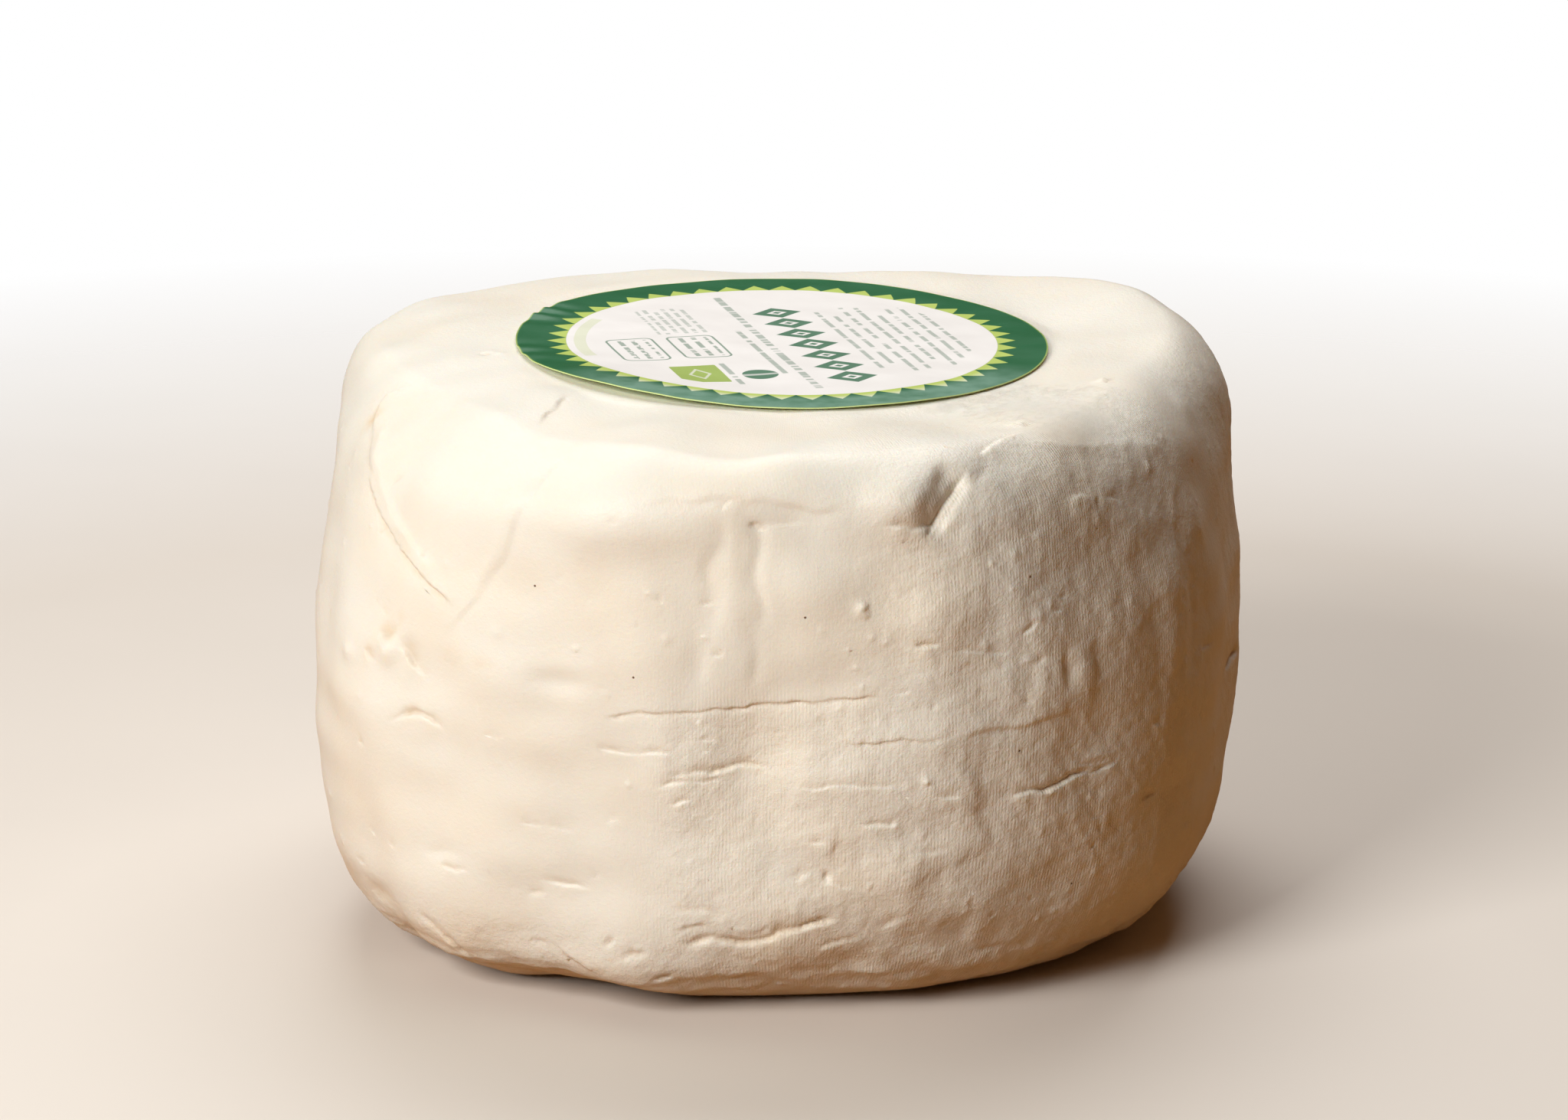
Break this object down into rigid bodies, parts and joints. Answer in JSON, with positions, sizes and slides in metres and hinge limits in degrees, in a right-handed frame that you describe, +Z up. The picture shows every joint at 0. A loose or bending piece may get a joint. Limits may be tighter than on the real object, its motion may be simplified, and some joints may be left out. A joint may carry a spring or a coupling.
{
  "type": "aged ricotta cheese wheel",
  "caption": "Low hand-pressed wheel of pale aged ricotta with cloth-pressed folds, and a round green-bordered paper label lying on its crown.",
  "frame": {"origin": "centre of the wheel's bounding box, on the level of its flat base", "axes": "+Z up out of the crown, -Y towards the side with the deep dimple and the long creases, +X to the right seen from there"},
  "size_m": [0.1826, 0.1864, 0.113],
  "materials": {
    "cheese": "satin, cream white, moist pressed curd",
    "label": "glossy printed paper, green border round a white field"
  },
  "bodies": {
    "root": {"cheese": "cheese", "label": "label"}
  },
  "joints": []
}
